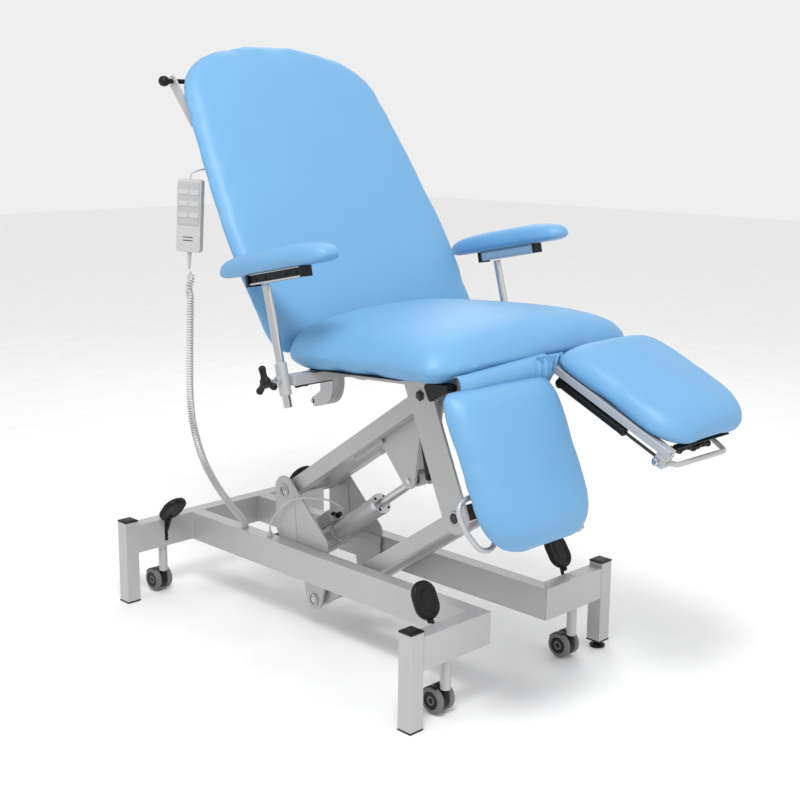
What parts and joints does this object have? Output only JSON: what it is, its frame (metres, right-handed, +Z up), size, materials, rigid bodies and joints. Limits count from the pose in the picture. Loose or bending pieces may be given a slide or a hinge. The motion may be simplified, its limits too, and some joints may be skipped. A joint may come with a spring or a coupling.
{
  "type": "podiatry treatment chair",
  "caption": "Height-adjustable treatment chair: parallelogram lift on a tubular base, padded seat, reclining back, split leg rests, arm rests and a corded hand control.",
  "frame": {"origin": "on the floor under the middle of the chair", "axes": "+Z up, -Y towards the foot end, +X to the right of a viewer at the foot end"},
  "size_m": [0.9132, 1.5674, 1.5024],
  "materials": {
    "painted_steel": "satin light grey powder coat",
    "black_plastic": "satin black",
    "tyre": "matt grey",
    "chrome": "polished",
    "vinyl": "smooth light blue vinyl",
    "pale_plastic": "pale grey"
  },
  "bodies": {
    "base": {"base_rail_left": "painted_steel", "base_rail_right": "painted_steel", "front_beam_left": "painted_steel", "front_beam_right": "painted_steel", "rear_beam": "painted_steel", "leg_front_left": "painted_steel", "leg_front_right": "painted_steel", "leg_rear_left": "painted_steel", "leg_rear_right": "painted_steel", "base_bracket": "painted_steel", "curly_cord": "pale_plastic", "actuator_lead": "pale_plastic"},
    "foot": {"levelling_foot": "black_plastic"},
    "upper_arm": {"upper_arm": "painted_steel"},
    "lower_arm": {"lower_arm": "painted_steel"},
    "actuator_cylinder": {"actuator_cylinder": "painted_steel"},
    "actuator_rod": {"actuator_rod": "chrome"},
    "carriage": {"seat_carriage": "painted_steel", "seat_pad": "vinyl"},
    "backrest": {"backrest_frame": "painted_steel", "backrest_pad": "vinyl", "handset": "pale_plastic"},
    "release_lever": {"backrest_release_lever": "black_plastic"},
    "roll_rod": {"paper_roll_rod": "black_plastic"},
    "leg_rest_left": {"leg_rest_frame_left": "painted_steel", "leg_rest_pad_left": "vinyl", "leg_strut_left": "black_plastic"},
    "arm_post_left": {"armrest_post_left": "chrome"},
    "arm_rest_left": {"armrest_bar_left": "black_plastic", "armrest_pad_left": "vinyl"},
    "arm_knob_left": {"armrest_knob_left": "black_plastic"},
    "leg_rest_right": {"leg_rest_frame_right": "painted_steel", "leg_rest_pad_right": "vinyl", "leg_strut_right": "black_plastic"},
    "arm_post_right": {"armrest_post_right": "chrome"},
    "arm_rest_right": {"armrest_bar_right": "black_plastic", "armrest_pad_right": "vinyl"},
    "arm_knob_right": {"armrest_knob_right": "black_plastic"},
    "pedal_front_left": {"pedal_front_left": "black_plastic"},
    "stem_front_left": {"caster_stem_front_left": "painted_steel"},
    "fork_front_left": {"caster_fork_front_left": "black_plastic"},
    "wheels_front_left": {"caster_wheels_front_left": "tyre"},
    "pedal_front_right": {"pedal_front_right": "black_plastic"},
    "stem_front_right": {"caster_stem_front_right": "painted_steel"},
    "fork_front_right": {"caster_fork_front_right": "black_plastic"},
    "wheels_front_right": {"caster_wheels_front_right": "tyre"},
    "pedal_rear_left": {"pedal_rear_left": "black_plastic"},
    "stem_rear_left": {"caster_stem_rear_left": "painted_steel"},
    "fork_rear_left": {"caster_fork_rear_left": "black_plastic"},
    "wheels_rear_left": {"caster_wheels_rear_left": "tyre"},
    "pedal_rear_right": {"pedal_rear_right": "black_plastic"},
    "stem_rear_right": {"caster_stem_rear_right": "painted_steel"},
    "fork_rear_right": {"caster_fork_rear_right": "black_plastic"},
    "wheels_rear_right": {"caster_wheels_rear_right": "tyre"},
    "button_1_left": {"button_1_left": "pale_plastic"},
    "button_1_right": {"button_1_right": "pale_plastic"},
    "button_2_left": {"button_2_left": "pale_plastic"},
    "button_2_right": {"button_2_right": "pale_plastic"},
    "button_3_left": {"button_3_left": "pale_plastic"},
    "button_3_right": {"button_3_right": "pale_plastic"}
  },
  "joints": [
    {"name": "lift", "type": "hinge", "parent": "base", "child": "upper_arm", "pos_m": [0, 0.3475, 0.351], "axis": [1, 0, 0], "range_deg": [-7, 33], "deforming": ["curly_cord", "actuator_lead"]},
    {"name": "lower_arm_swing", "type": "hinge", "parent": "base", "child": "lower_arm", "pos_m": [0, 0.2305, 0.0765], "axis": [1, 0, 0], "range_deg": [-7, 33]},
    {"name": "seat_level", "type": "hinge", "parent": "upper_arm", "child": "carriage", "pos_m": [0, -0.1475, 0.6865], "axis": [1, 0, 0], "range_deg": [-33, 7]},
    {"name": "actuator_swing", "type": "hinge", "parent": "base", "child": "actuator_cylinder", "pos_m": [0, 0.3115, 0.188], "axis": [1, 0, 0], "range_deg": [-6.5, 30.6]},
    {"name": "actuator_stroke", "type": "slide", "parent": "actuator_cylinder", "child": "actuator_rod", "axis": [0, -0.8142, 0.5806], "range_m": [-0.0925, 0.0196]},
    {"name": "backrest_recline", "type": "hinge", "parent": "carriage", "child": "backrest", "pos_m": [0, 0.0975, 0.752], "axis": [-1, 0, 0], "range_deg": [-3, 52]},
    {"name": "backrest_release", "type": "hinge", "parent": "carriage", "child": "release_lever", "pos_m": [-0.25, 0.0335, 0.716], "axis": [1, 0, 0], "range_deg": [0, 20], "stiffness_Nm_per_rad": 0.5},
    {"name": "paper_roll_spin", "type": "hinge", "parent": "backrest", "child": "roll_rod", "pos_m": [0, 0.5265, 1.409], "axis": [1, 0, 0], "continuous": true},
    {"name": "levelling_foot_turn", "type": "hinge", "parent": "base", "child": "foot", "pos_m": [0.342, -0.3675, 0.01], "axis": [0, 0, 1], "continuous": true},
    {"name": "leg_rest_left_raise", "type": "hinge", "parent": "carriage", "child": "leg_rest_left", "pos_m": [-0.15, -0.4045, 0.8], "axis": [1, 0, 0], "range_deg": [-46, 10]},
    {"name": "armrest_left_height", "type": "slide", "parent": "carriage", "child": "arm_post_left", "axis": [0, 0.259, 0.9659], "range_m": [-0.1, 0.02]},
    {"name": "armrest_left_swivel", "type": "hinge", "parent": "arm_post_left", "child": "arm_rest_left", "pos_m": [-0.3956, 0.0505, 0.983], "axis": [0, 0.259, 0.9659], "range_deg": [0, 75]},
    {"name": "armrest_left_clamp", "type": "hinge", "parent": "carriage", "child": "arm_knob_left", "pos_m": [-0.447, -0.00648, 0.74548], "axis": [1, 0, 0], "continuous": true},
    {"name": "leg_rest_right_raise", "type": "hinge", "parent": "carriage", "child": "leg_rest_right", "pos_m": [0.15, -0.4045, 0.8], "axis": [1, 0, 0], "range_deg": [-5, 50]},
    {"name": "armrest_right_height", "type": "slide", "parent": "carriage", "child": "arm_post_right", "axis": [0, 0.259, 0.9659], "range_m": [-0.1, 0.02]},
    {"name": "armrest_right_swivel", "type": "hinge", "parent": "arm_post_right", "child": "arm_rest_right", "pos_m": [0.3956, 0.0505, 0.983], "axis": [0, -0.259, -0.9659], "range_deg": [0, 75]},
    {"name": "armrest_right_clamp", "type": "hinge", "parent": "carriage", "child": "arm_knob_right", "pos_m": [0.447, -0.00648, 0.74548], "axis": [1, 0, 0], "continuous": true},
    {"name": "pedal_front_left", "type": "hinge", "parent": "base", "child": "pedal_front_left", "pos_m": [-0.23, -0.3595, 0.18], "axis": [-1, 0, 0], "range_deg": [0, 20]},
    {"name": "caster_drop_front_left", "type": "slide", "parent": "base", "child": "stem_front_left", "axis": [0, 0, -1], "range_m": [0, 0.012]},
    {"name": "caster_swivel_front_left", "type": "hinge", "parent": "stem_front_left", "child": "fork_front_left", "pos_m": [-0.23, -0.3675, 0.049], "axis": [0, 0, 1], "continuous": true},
    {"name": "caster_roll_front_left", "type": "hinge", "parent": "fork_front_left", "child": "wheels_front_left", "pos_m": [-0.23, -0.3455, 0.0335], "axis": [1, 0, 0], "continuous": true},
    {"name": "pedal_front_right", "type": "hinge", "parent": "base", "child": "pedal_front_right", "pos_m": [0.23, -0.3595, 0.18], "axis": [-1, 0, 0], "range_deg": [0, 20]},
    {"name": "caster_drop_front_right", "type": "slide", "parent": "base", "child": "stem_front_right", "axis": [0, 0, -1], "range_m": [0, 0.012]},
    {"name": "caster_swivel_front_right", "type": "hinge", "parent": "stem_front_right", "child": "fork_front_right", "pos_m": [0.23, -0.3675, 0.049], "axis": [0, 0, 1], "continuous": true},
    {"name": "caster_roll_front_right", "type": "hinge", "parent": "fork_front_right", "child": "wheels_front_right", "pos_m": [0.23, -0.3455, 0.0335], "axis": [1, 0, 0], "continuous": true},
    {"name": "pedal_rear_left", "type": "hinge", "parent": "base", "child": "pedal_rear_left", "pos_m": [-0.23, 0.7225, 0.18], "axis": [1, 0, 0], "range_deg": [0, 20]},
    {"name": "caster_drop_rear_left", "type": "slide", "parent": "base", "child": "stem_rear_left", "axis": [0, 0, -1], "range_m": [0, 0.012]},
    {"name": "caster_swivel_rear_left", "type": "hinge", "parent": "stem_rear_left", "child": "fork_rear_left", "pos_m": [-0.23, 0.7305, 0.049], "axis": [0, 0, 1], "continuous": true},
    {"name": "caster_roll_rear_left", "type": "hinge", "parent": "fork_rear_left", "child": "wheels_rear_left", "pos_m": [-0.23, 0.7525, 0.0335], "axis": [1, 0, 0], "continuous": true},
    {"name": "pedal_rear_right", "type": "hinge", "parent": "base", "child": "pedal_rear_right", "pos_m": [0.23, 0.7225, 0.18], "axis": [1, 0, 0], "range_deg": [0, 20]},
    {"name": "caster_drop_rear_right", "type": "slide", "parent": "base", "child": "stem_rear_right", "axis": [0, 0, -1], "range_m": [0, 0.012]},
    {"name": "caster_swivel_rear_right", "type": "hinge", "parent": "stem_rear_right", "child": "fork_rear_right", "pos_m": [0.23, 0.7305, 0.049], "axis": [0, 0, 1], "continuous": true},
    {"name": "caster_roll_rear_right", "type": "hinge", "parent": "fork_rear_right", "child": "wheels_rear_right", "pos_m": [0.23, 0.7525, 0.0335], "axis": [1, 0, 0], "continuous": true},
    {"name": "button_1_left", "type": "slide", "parent": "backrest", "child": "button_1_left", "axis": [0.866, 0.5, 0], "range_m": [0, 0.001], "stiffness_N_per_m": 300},
    {"name": "button_1_right", "type": "slide", "parent": "backrest", "child": "button_1_right", "axis": [0.866, 0.5, 0], "range_m": [0, 0.001], "stiffness_N_per_m": 300},
    {"name": "button_2_left", "type": "slide", "parent": "backrest", "child": "button_2_left", "axis": [0.866, 0.5, 0], "range_m": [0, 0.001], "stiffness_N_per_m": 300},
    {"name": "button_2_right", "type": "slide", "parent": "backrest", "child": "button_2_right", "axis": [0.866, 0.5, 0], "range_m": [0, 0.001], "stiffness_N_per_m": 300},
    {"name": "button_3_left", "type": "slide", "parent": "backrest", "child": "button_3_left", "axis": [0.866, 0.5, 0], "range_m": [0, 0.001], "stiffness_N_per_m": 300},
    {"name": "button_3_right", "type": "slide", "parent": "backrest", "child": "button_3_right", "axis": [0.866, 0.5, 0], "range_m": [0, 0.001], "stiffness_N_per_m": 300}
  ],
  "couplings": [
    {"joint": "lower_arm_swing", "follows": "lift", "ratio": 1},
    {"joint": "seat_level", "follows": "lift", "ratio": -1},
    {"joint": "actuator_swing", "follows": "lift", "ratio": 0.925},
    {"joint": "actuator_stroke", "follows": "lift", "m_per_rad": -0.16},
    {"joint": "caster_drop_front_left", "follows": "pedal_front_left", "m_per_rad": 0.0343},
    {"joint": "caster_drop_front_right", "follows": "pedal_front_right", "m_per_rad": 0.0343},
    {"joint": "caster_drop_rear_left", "follows": "pedal_rear_left", "m_per_rad": 0.0343},
    {"joint": "caster_drop_rear_right", "follows": "pedal_rear_right", "m_per_rad": 0.0343}
  ]
}
